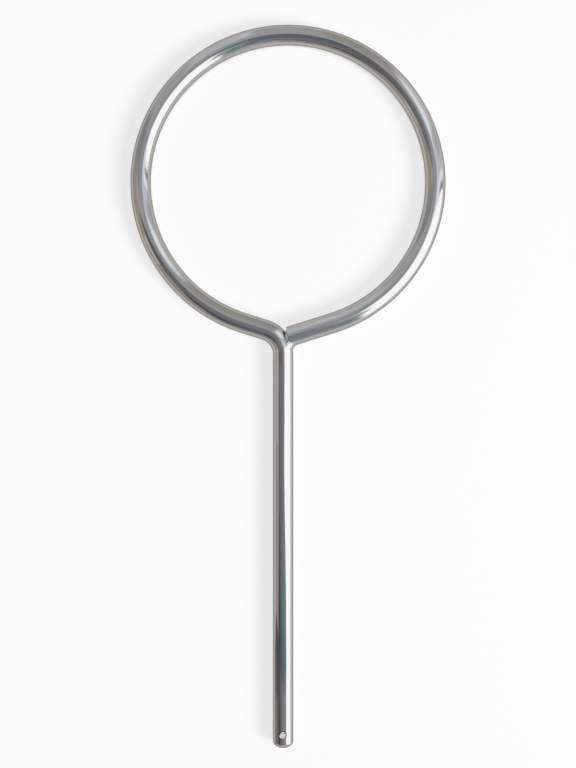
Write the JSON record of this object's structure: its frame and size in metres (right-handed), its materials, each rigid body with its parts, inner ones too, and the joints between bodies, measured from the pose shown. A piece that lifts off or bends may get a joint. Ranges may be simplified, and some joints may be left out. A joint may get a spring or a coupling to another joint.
{
  "type": "laboratory support ring",
  "caption": "Polished steel rod bent into a round open ring with a long straight stem, for holding vessels on a stand.",
  "frame": {"origin": "centre of the ring, in the middle plane of the rod", "axes": "+Z square to the ring's plane, -Y along the stem towards its tip, +X to the right seen from +Z"},
  "size_m": [0.155, 0.3555, 0.01],
  "materials": {
    "polished_steel": "polished"
  },
  "bodies": {
    "root": {"support_ring": "polished_steel"}
  },
  "joints": []
}
